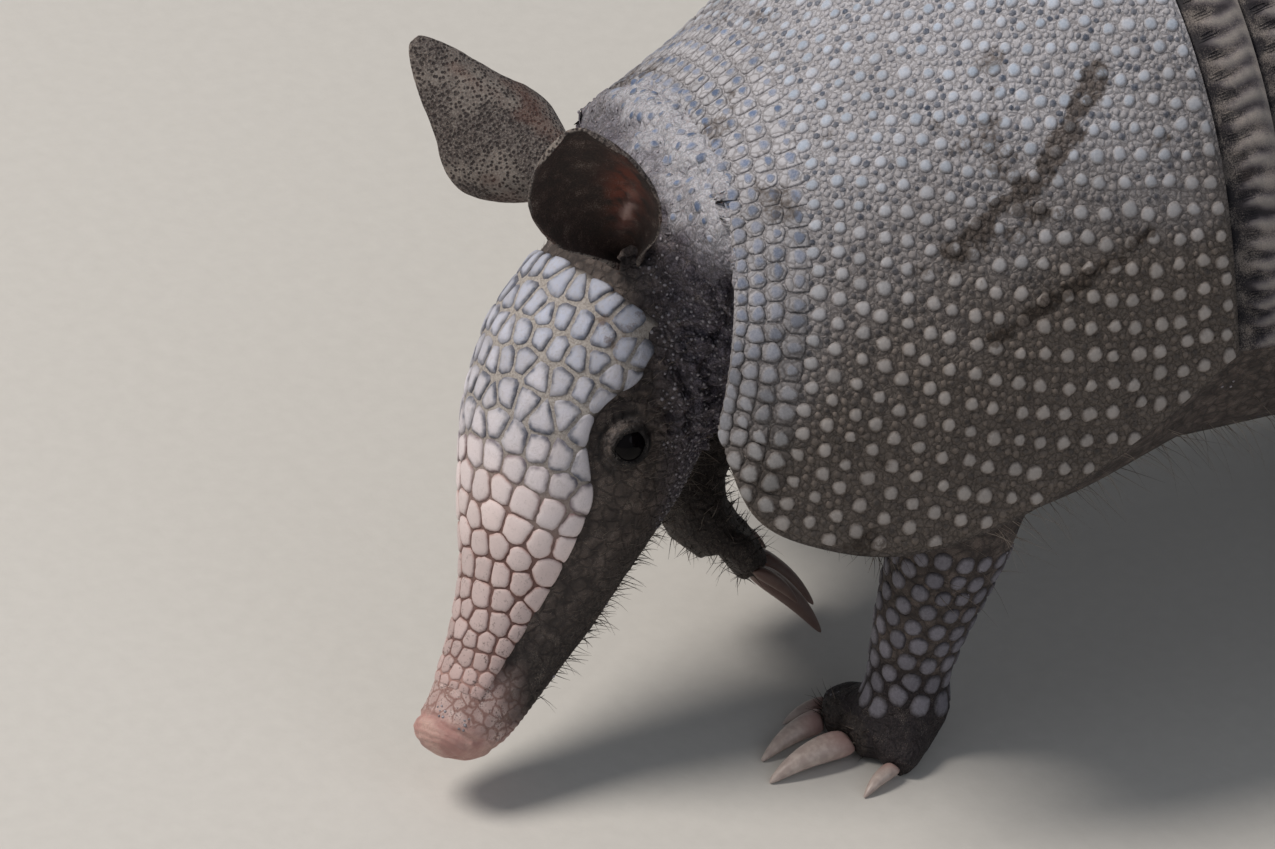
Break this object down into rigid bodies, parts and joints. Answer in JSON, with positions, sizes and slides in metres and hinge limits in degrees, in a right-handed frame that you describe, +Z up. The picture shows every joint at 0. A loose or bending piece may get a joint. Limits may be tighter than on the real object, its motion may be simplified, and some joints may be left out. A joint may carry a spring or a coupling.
{
  "type": "nine-banded armadillo, life-size animal model",
  "caption": "Life-size nine-banded armadillo standing with its head lowered to sniff and one forefoot lifted, with a plated shell and a ringed tail.",
  "frame": {"origin": "on the floor, under the middle of the model's bounding box", "axes": "-Y is the way the animal faces, +X is its left side, +Z is up"},
  "size_m": [0.159, 0.636, 0.1832],
  "materials": {
    "skin": "matte, wrinkled",
    "scute_horn": "satin, horny and dusty",
    "ear_skin": "matte, finely pebbled",
    "eye": "glossy, wet",
    "claw_horn": "smooth horn"
  },
  "bodies": {
    "root": {"band_1": "scute_horn", "band_2": "scute_horn", "band_3": "scute_horn", "band_4": "scute_horn", "band_5": "scute_horn", "band_6": "scute_horn", "band_7": "scute_horn", "band_8": "scute_horn", "band_9": "scute_horn", "ear_left": "ear_skin", "ear_right": "ear_skin", "eye_left": "eye", "eye_right": "eye", "foreclaw_left_1": "claw_horn", "foreclaw_left_2": "claw_horn", "foreclaw_left_3": "claw_horn", "foreclaw_left_4": "claw_horn", "foreclaw_right_1": "claw_horn", "foreclaw_right_2": "claw_horn", "foreclaw_right_3": "claw_horn", "foreclaw_right_4": "claw_horn", "forefoot_left": "skin", "forefoot_right": "skin", "foreleg_left": "skin", "foreleg_right": "skin", "head": "skin", "head_shield": "scute_horn", "hindclaw_left_1": "claw_horn", "hindclaw_left_2": "claw_horn", "hindclaw_left_3": "claw_horn", "hindclaw_left_4": "claw_horn", "hindclaw_left_5": "claw_horn", "hindclaw_right_1": "claw_horn", "hindclaw_right_2": "claw_horn", "hindclaw_right_3": "claw_horn", "hindclaw_right_4": "claw_horn", "hindclaw_right_5": "claw_horn", "hindfoot_left": "skin", "hindfoot_right": "skin", "hindleg_left": "skin", "hindleg_right": "skin", "neck": "skin", "pelvic_shield": "scute_horn", "scapular_shield": "scute_horn", "tail_1": "scute_horn", "tail_2": "scute_horn", "tail_3": "scute_horn", "tail_4": "scute_horn", "trunk": "skin"}
  },
  "joints": []
}
